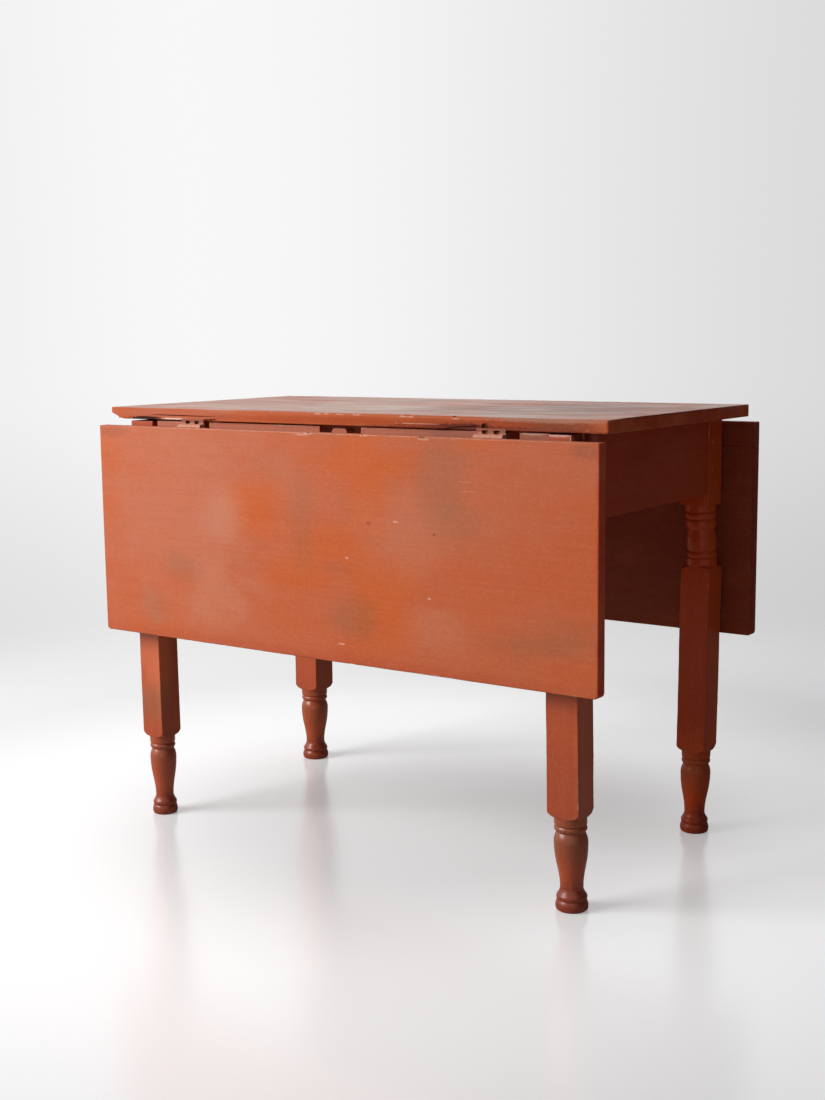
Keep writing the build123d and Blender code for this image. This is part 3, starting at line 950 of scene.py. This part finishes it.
TOP_PAINT = OldPaint(
    "terracotta_oil_paint_on_top",
    Grain.ALONG_X,
    rubbed="#BE785A",
    roughness=(0.3, 0.46),
    specular=0.28,
    haze=0.45,
    coat=0.1,
    streak=0.05,
    patches=(
        # The next twelve areas lie on the upper face: painted reflection, pale where the top
        # reflects the bright room and brown where it reflects less.
        Patch((-20, -95, 737), (110, 95, 9), "#E2BFA9", 0.85),
        Patch((-230, -130, 737), (230, 110, 9), "#D8AC94", 0.7),
        Patch((-160, 80, 737), (90, 130, 9), "#D8AE96", 0.6),
        Patch((-270, 200, 737), (70, 60, 9), "#D5B4A5", 0.5),
        Patch((40, 200, 737), (50, 60, 9), "#CDA896", 0.4),
        Patch((-90, 150, 737), (60, 70, 9), "#8A5844", 0.45),
        Patch((120, -60, 737), (90, 120, 9), "#8C5C46", 0.45),
        Patch((320, 10, 737), (210, 260, 9), "#6E4228", 0.75),
        Patch((470, 190, 737), (30, 90, 9), "#DCC2B6", 0.6),
        Patch((20, -222, 737), (150, 13, 9), "#DFC2AE", 0.55),
        Patch((330, -232, 737), (130, 10, 9), "#D6B49E", 0.6),
        Patch((455, -170, 737), (36, 46, 9), "#D8B7A8", 0.5),
        Patch((-330, -246, 727), (170, 8, 9), "#BC6A50", 0.75),
        Patch((60, -246, 725), (330, 8, 9), "#AE4818", 0.8),
        Patch((330, -246, 726), (170, 8, 8), "#9C3E16", 0.8),
        # Darker lower band of the front edge on the right: painted shade along the shadow line under
        # the top.
        Patch((300, -246, 719), (210, 8, 4.5), "#7A2A10", 0.85),
        Patch((-343, -245, 719.4), (38, 9, 1.7), "#F0CDBE", 0.95),
        Patch((177, -245, 723.6), (52, 6, 0.9), BROKEN_WOOD, 0.7),
        Patch((-26, -245, 734.8), (7, 7, 1.7), BROKEN_WOOD, 0.6),
        Patch((-9, -245, 734.8), (6, 7, 1.5), BROKEN_WOOD, 0.6),
        Patch((18, -245, 735), (8, 7, 1.5), BROKEN_WOOD, 0.6),
        Patch((51, -245, 735), (8, 7, 1.5), BROKEN_WOOD, 0.6),
        Patch((141, -245, 734), (8, 7, 1.4), BROKEN_WOOD, 0.7),
        Patch((155, -245, 734), (5, 7, 1.4), BROKEN_WOOD, 0.7),
        Patch((237, -245, 733), (7, 7, 1.3), BROKEN_WOOD, 0.7),
        # Dark inside the notch: painted shade.
        Patch((291, -246, 721), (5, 9, 7), "#34100A", 0.9),
        Patch((293, -243, 720), (2.6, 9, 2.2), BROKEN_WOOD, 0.9),
        Patch((284, -243, 718.5), (3, 9, 1.6), BROKEN_WOOD, 0.8),
        # Dark in the recess under the front edge: painted shade.
        Patch((252, -245, 719.5), (58, 9, 7.4), "#5E1A06", 0.95),
        # Saturated deep red over the right end: painted shade colour of an end that lies in shade.
        Patch((500, 0, 727), (8, 1500, 40), "#A8300A", 0.95),
        # Near black at the back of the left recess: painted shade.
        Patch((-408, -246, 718.4), (44, 9, 4.6), "#2A0A02", 0.97),
        Patch((-480, 244, 737), (9, 9, 9), "#4A2A1E", 0.7),
        Patch((-180, 244, 737), (9, 9, 9), "#4A2A1E", 0.6),
        Patch((425, -246, 726), (64, 8, 8), "#80452C", 0.7),
        Patch((405, -246, 734), (110, 8, 4.5), "#AC8068", 0.6),
    ),
    seed=3.1,
)
TOP_SIDE_PAINT = replace(
    TOP_PAINT,
    name="terracotta_oil_paint_on_top_edges",
    roughness=(0.5, 0.64),
    specular=0.12,
    haze=0.0,
    coat=0.0,
)
TOP_GOUGES = (
    Gouge((-483, -240, 716.9), (50, 24, 12), turn=20.1, taper=0.0, ragged=0.1),
    Gouge((-408, -245, 720.4), (66, 6, 3.2), taper=0.7),
    Gouge((-323, -244, 725.2), (160, 12, 1.7), turn=0.3),
    Gouge((-265, -244, 719.0), (50, 12, 2.6), turn=-3.0),
    Gouge((250, -245, 717.5), (76, 6, 9), turn=-4.0, ragged=0.3),
    Gouge((268, -245, 719), (40, 7, 9), turn=-6.0, ragged=0.3),
    Gouge((286, -244, 721), (7, 13, 14), turn=32.0, taper=0.6, ragged=0.6),
    Gouge((292, -243, 718), (12, 14, 7), turn=-20.0, ragged=0.9),
    Gouge((177, -245, 722.4), (106, 2.6, 1.1), turn=-1.4),
    Gouge((150, -245, 717.0), (130, 5, 2.6)),
    Gouge((18, -245, 737.0), (13, 6, 3.6)),
    Gouge((51, -245, 737.0), (12, 6, 3.2)),
    Gouge((148, -245, 737.0), (20, 8, 4.4)),
    Gouge((237, -245, 737.0), (11, 9, 5.4)),
    Gouge((-130, 245, 737.0), (12, 7, 3.4)),
    Gouge((-478, 243, 737.0), (22, 12, 7)),
)
SIDE_PAINT = OldPaint(
    "terracotta_oil_paint_on_side_boards",
    Grain.ALONG_X,
    base="#B9684C",
    warm="#B66142",
    dull="#8E5941",
    patches=(
        Patch((330, -243, 712), (230, 12, 30), "#8A4E3A", 0.55),
        Patch((368, -240, 713.6), (24, 9, 2.2), BROKEN_WOOD, 0.8),
        Patch((-320, -240, 714.2), (60, 9, 1.8), BROKEN_WOOD, 0.4),
    ),
    seed=5.3,
)
# Darker and more saturated than the other boards' paint: a copy with painted shade for the end
# aprons, whose outer faces lie in shade.
SHADED_END_PAINT = OldPaint(
    "terracotta_oil_paint_with_painted_shade_on_end_boards",
    Grain.ALONG_Y,
    base="#A83A18",
    warm="#AC3C16",
    dull="#7C3018",
    rubbed="#A85F45",
    specular=0.15,
    seed=7.9,
)
# A darker copy of the paint, with painted shade, for the rear leaf, which is seen from its shaded
# inner side.
REAR_PAINT = OldPaint(
    "terracotta_oil_paint_with_painted_shade_on_rear_leaf",
    Grain.ALONG_X,
    base="#B34A28",
    patches=(
        # Darker over the inner face: painted shade of the face that turns towards the frame.
        Patch((0, 256, 525), (2600, 12, 1500), "#7E3420", 0.85),
        Patch((372, 258, 352), (7, 9, 5), "#1C0E0A", 0.9),
        # Deep red on the right end: painted shade colour of an end that lies in shade.
        Patch((504, 270, 525), (7, 60, 420), "#761A04", 0.9),
    ),
    specular=0.15,
    seed=8.6,
)
LEG_CENTRES = [(x, y) for x in (-423, 423) for y in (-217, 217)]  # millimetres
HINGE_CENTRES = [(x, y) for x in (-300, 300) for y in (-247, 247)]  # millimetres
LEG_PAINT = OldPaint(
    "terracotta_oil_paint_on_turned_legs",
    Grain.ALONG_Z,
    base="#B24A24",
    warm="#BA5024",
    roughness=(0.32, 0.44),
    coat=0.3,
    patches=(
        *(Patch((x, y, 112), (48, 48, 40), "#86492A", 0.55) for x, y in LEG_CENTRES),
        *(Patch((x, y, 12), (48, 48, 34), "#74220C", 0.75) for x, y in LEG_CENTRES),
        # Lighter over the front face of the front left leg: painted light where the lamp falls.
        Patch((-423, -243, 330), (60, 30, 130), "#D0683E", 0.85),
        Patch((-427, -243, 208), (34, 30, 36), "#8C5734", 0.5),
        Patch((423, -217, 118), (48, 48, 34), "#6A4028", 0.25),
        # Darker over the rear left leg: painted shade.
        Patch((-423, 217, 250), (60, 60, 90), "#A84624", 0.5),
        # Lighter on the right side of the front right leg: painted light that stands in for fill on
        # its shaded side.
        Patch((449, -217, 300), (14, 30, 160), "#D25A30", 0.5),
        Patch((410, -243, 712.5), (26, 9, 2.4), BROKEN_WOOD, 0.8),
        Patch((434, -243, 706), (2.4, 9, 7), BROKEN_WOOD, 0.85),
    ),
    seed=1.7,
)
# A redder copy of the leg paint with less sheen: painted shade colour for the rear right leg, which
# stands in shade.
SHADED_REAR_LEG_PAINT = replace(
    LEG_PAINT,
    name="terracotta_oil_paint_with_painted_shade_on_rear_right_leg",
    base="#B8400F",
    warm="#BE4414",
    specular=0.15,
    coat=0.06,
)


@dataclass
class Frame:
    """Legs, aprons and arms.

    Attributes:
        legs: Girth, lean and turn of each leg.
    """

    legs: dict[str, tuple[float, tuple[tuple[float, float], ...], float]] = field(
        default_factory=lambda: {
            "front_left": (0.91, ((0, -2.0), (340, -4.5), (588, 0)), 0.0),
            "front_right": (1.01, ((0, 0), (215, -3.9), (343, -5.5), (588, 0)), 3.0),
            "rear_left": (1.04, ((0, 0), (588, 0)), 0.0),
            "rear_right": (0.99, ((0, -2.0), (340, 2.0), (480, 4.5), (588, 0)), 0.0),
        }
    )

    def build(self) -> None:
        """Builds the legs, then the aprons and the arms."""
        leg_paint = LEG_PAINT.build()
        own_paint = {"rear_right": SHADED_REAR_LEG_PAINT.build()}
        # Near black end grain on the leg tops: partly the sawn wood's own colour, partly painted
        # shade in the gap under the top.
        end_grain_with_painted_shade = BarePine("sawn_end_grain", "#4E2C1A", "#331A0E", 0.03).build()
        chips = {"front_right": (Gouge((447, -229, 709), (27, 38, 18), taper=0.0, ragged=0.2),)}
        for corner, (girth, lean, turn) in self.legs.items():
            Leg(
                f"{corner}_leg",
                "frame",
                own_paint.get(corner, leg_paint),
                Grain.ALONG_Z,
                pitch=7.0,
                rounding=1.4,
                gouges=chips.get(corner, ()),
                other_finish=end_grain_with_painted_shade,
                girth=girth,
                lean=lean,
                turn=turn,
            ).build()
        shaded_end_paint = SHADED_END_PAINT.build()
        for end in ("left", "right"):
            Timber(f"{end}_end_apron", "frame", shaded_end_paint, Grain.ALONG_Y, pitch=12.0).build()
        side_paint = SIDE_PAINT.build()
        for side in ("front", "rear"):
            Timber(f"{side}_side_apron", "frame", side_paint, Grain.ALONG_X, pitch=10.0).build()
            for arm in ("short", "long"):
                name = f"{side}_{arm}_arm"
                Timber(name, name, side_paint, Grain.ALONG_X, rounding=1.2).build()


@dataclass
class Boards:
    """The fixed top and both leaves."""

    def build(self) -> None:
        """Builds the top, then the leaves."""
        TopBoard(
            "top_board",
            "frame",
            TOP_PAINT.build(),
            Grain.ALONG_X,
            pitch=5.0,
            rounding=1.8,
            gouges=TOP_GOUGES,
            other_finish=TOP_SIDE_PAINT.build(),
        ).build()
        Timber(
            "front_leaf_board",
            "front_leaf",
            LEAF_PAINT.build(),
            Grain.ALONG_X,
            pitch=6.0,
            rounding=2.2,
            gouges=LEAF_GOUGES,
        ).build()
        rear_paint = REAR_PAINT.build()
        for name, rounding in (("rear_leaf_board", 1.1), ("rear_leaf_hinge_board", 0.9)):
            Timber(name, "rear_leaf", rear_paint, Grain.ALONG_X, rounding=rounding).build()


@dataclass
class Fittings:
    """Hinges, screws, pins, pegs and blocks, whose solids stay as they are."""

    def build(self) -> None:
        """Gives each of these solids its finish."""
        painted_iron = OldPaint(
            "terracotta_paint_on_iron",
            Grain.ALONG_X,
            base="#CB8B74",
            warm="#C67F64",
            dull="#8C5442",
            # Darker band on the plates just under the top: painted shade under the top's front and
            # back edges.
            patches=tuple(Patch((*at, 717.5), (90, 26, 5), "#8A4428", 0.9) for at in HINGE_CENTRES),
            seed=2.3,
        ).build()
        painted_peg = OldPaint("terracotta_oil_paint_on_pegs", Grain.ALONG_Y, seed=4.4).build()
        pine = BarePine().build()
        iron = OldIron().build()
        for name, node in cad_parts.items():
            if node.hide_render:
                continue
            if name.endswith("_plate") or name.endswith("_hinge_pin"):
                finish = painted_iron
            elif name.endswith("_block"):
                finish = pine
            elif name == "tenon_pegs":
                finish = painted_peg
            else:
                finish = iron
            node.data.materials.clear()
            node.data.materials.append(finish)
            log.info("%s: %s", name, finish.name)


# ---- Studio ----


@dataclass
class Studio:
    """Pale floor and backdrop, a soft lamp and the camera.

    Attributes:
        camera_at: Where the camera stands, in millimetres.
        heading: Degrees that it is turned to the left of +Y.
        tilt: Degrees that it looks down.
        roll: Degrees that it leans.
        lens: Focal length for a 36 mm high sensor.
        floor_size: Half the floor's width, in metres.
        floor_glow: Light that the floor adds, by distance from the table's middle in metres; less
            near the table, as painted shade under it.
        floor_dim: Share of that light that is left further out, by the same distance.
        fade: Distances from the table where the floor starts and ends fading, in metres.
        lamp_at: Where the lamp hangs, in metres.
        lamp_aim: Where it points, in metres.
        lamp_size: Its width and height, in metres.
        lamp_power: Its power, in watts.
        wall_side: Brightness of the backdrop, by the cosine towards the room's right.
        wall_corner: Share of it that is left at the far left, by the same cosine.
        wall_foot: Share of it that is left low down, by the cosine towards the zenith.
        reflected: Share of it that reflections see, by the cosine towards the right.
        fill: Brightness of the soft fill, by the cosine towards the right.
    """

    camera_at: tuple[float, float, float] = (1495.6, -2123.0, 860.1)
    heading: float = 35.494
    tilt: float = 8.169
    roll: float = 0.668
    lens: float = 49.456
    floor_size: float = 6.0
    floor_glow: Ramp = ((0.25, 0.7), (0.16, 0.37))
    floor_dim: Ramp = ((0.75, 1.25), (1.0, 0.66))
    fade: tuple[float, float] = (1.3, 2.3)
    lamp_at: tuple[float, float, float] = (-2.4, -3.0, 2.3)
    lamp_aim: tuple[float, float, float] = (0, 0, 0.45)
    lamp_size: tuple[float, float] = (2.4, 2.0)
    lamp_power: float = 172.0
    wall_side: Ramp = ((-0.14, 0.34), (0.945, 0.7))
    wall_corner: Ramp = ((-0.3, -0.14), (0.93, 1.0))
    wall_foot: Ramp = ((-0.19, -0.02), (0.86, 1.0))
    reflected: Ramp = ((0.32, 0.75), (1.0, 0.12))
    fill: Ramp = ((-0.3, 0.8), (0.2, 0.12))

    def build(self) -> None:
        """Builds the whole studio."""
        self.camera()
        self.floor()
        self.lamps()
        self.world()

    def camera(self) -> None:
        """Stands the camera and makes it the scene's own."""
        data = bpy.data.cameras.new("camera")
        data.sensor_fit = "VERTICAL"
        data.sensor_height = 36.0
        data.lens = self.lens
        camera = bpy.data.objects.new("camera", data)
        bpy.context.scene.collection.objects.link(camera)
        turn = (
            Matrix.Rotation(math.radians(self.heading), 4, "Z")
            @ Matrix.Rotation(math.radians(90 - self.tilt), 4, "X")
            @ Matrix.Rotation(math.radians(-self.roll), 4, "Z")
        )
        camera.matrix_world = Matrix.Translation(Vector(self.camera_at) * MM) @ turn
        bpy.context.scene.camera = camera

    def floor(self) -> None:
        """Lays a glossy floor that fades into the backdrop all round the table."""
        bm = bmesh.new()
        bmesh.ops.create_grid(bm, x_segments=1, y_segments=1, size=self.floor_size)
        mesh = bpy.data.meshes.new("floor")
        bm.to_mesh(mesh)
        bm.free()
        material, tree = blank_material("glossy_white_floor")
        path = add_node(tree, "ShaderNodeLightPath")
        length = add_node(tree, "ShaderNodeVectorMath", {0: object_place(tree)}, operation="LENGTH")
        distance = length.outputs["Value"]
        # The floor glows, least under the table: painted shade there.
        glow = smooth_step(tree, distance, *self.floor_glow)
        dim = smooth_step(tree, distance, *self.floor_dim)
        shown = add_node(
            tree,
            "ShaderNodeBsdfPrincipled",
            {
                "Base Color": linear("#E4E5E6"),
                "Roughness": 0.2,
                "Specular IOR Level": 1.0,
                "Emission Color": linear("#FFFFFF"),
                "Emission Strength": calculate(tree, "MULTIPLY", glow, dim),
            },
        )
        unseen = add_node(tree, "ShaderNodeBsdfDiffuse", {"Color": linear("#C6C4C2")})
        lit = add_node(
            tree,
            "ShaderNodeMixShader",
            {0: path.outputs["Is Camera Ray"], 1: unseen.outputs[0], 2: shown.outputs[0]},
        )
        # The floor has an upper side only, so that the table can be looked at from below.
        under = add_node(tree, "ShaderNodeNewGeometry").outputs["Backfacing"]
        hidden = calculate(tree, "MULTIPLY", under, path.outputs["Is Camera Ray"])
        gone = calculate(tree, "MAXIMUM", smooth_step(tree, distance, self.fade), hidden)
        clear = add_node(tree, "ShaderNodeBsdfTransparent")
        mixed = add_node(
            tree, "ShaderNodeMixShader", {0: gone, 1: lit.outputs[0], 2: clear.outputs[0]}
        )
        add_node(tree, "ShaderNodeOutputMaterial", {"Surface": mixed.outputs[0]})
        mesh.materials.append(material)
        floor = bpy.data.objects.new("floor", mesh)
        bpy.context.scene.collection.objects.link(floor)

    def lamps(self) -> None:
        """Hangs one large soft lamp to the front left of the table."""
        data = bpy.data.lights.new("window", "AREA")
        data.shape = "RECTANGLE"
        data.size, data.size_y = self.lamp_size
        data.energy = self.lamp_power
        lamp = bpy.data.objects.new("window", data)
        bpy.context.scene.collection.objects.link(lamp)
        at = Vector(self.lamp_at)
        aim = (Vector(self.lamp_aim) - at).to_track_quat("-Z", "Y")
        lamp.matrix_world = Matrix.Translation(at) @ aim.to_matrix().to_4x4()

    def across(self, tree: Tree, towards: tuple[float, float, float]) -> Socket:
        """How far a direction of the world points one way, from -1 to 1.

        Args:
            tree: The world's tree.
            towards: That way.

        Returns:
            The cosine between the two.
        """
        direction = add_node(tree, "ShaderNodeTexCoord").outputs["Generated"]
        product = add_node(
            tree, "ShaderNodeVectorMath", {0: direction, 1: towards}, operation="DOT_PRODUCT"
        )
        return product.outputs["Value"]

    def world(self) -> None:
        """Pale backdrop, whiter to the left, over a dim and even fill."""
        world = bpy.data.worlds.new("studio")
        world.use_nodes = True
        tree = world.node_tree
        tree.nodes.clear()
        turn = math.radians(self.heading)
        right = self.across(tree, (math.cos(turn), math.sin(turn), 0))
        height = self.across(tree, (0, 0, 1))
        wall = smooth_step(tree, right, *self.wall_side)
        wall = calculate(tree, "MULTIPLY", wall, smooth_step(tree, height, *self.wall_foot))
        wall = calculate(tree, "MULTIPLY", wall, smooth_step(tree, right, *self.wall_corner))
        # The room is dark to the right, where no window or wall stands near.
        reflected = calculate(tree, "MULTIPLY", wall, smooth_step(tree, right, *self.reflected))
        path = add_node(tree, "ShaderNodeLightPath")
        brightness = smooth_step(tree, right, *self.fill)
        for is_ray, level in (("Is Glossy Ray", reflected), ("Is Camera Ray", wall)):
            chosen = add_node(
                tree,
                "ShaderNodeMix",
                {0: path.outputs[is_ray], 2: brightness, 3: level},
                data_type="FLOAT",
            )
            brightness = chosen.outputs[0]
        shown = add_node(
            tree, "ShaderNodeBackground", {"Color": linear("#FFFEFE"), "Strength": brightness}
        )
        add_node(tree, "ShaderNodeOutputWorld", {"Surface": shown.outputs[0]})
        bpy.context.scene.world = world


def main() -> None:
    """Builds the studio and the table, piece by piece."""
    logging.basicConfig(level=logging.INFO, format="%(name)s: %(message)s")
    bpy.context.scene.view_settings.view_transform = "Standard"
    Studio().build()
    Frame().build()
    Boards().build()
    Fittings().build()


if __name__ == "__main__":
    main()
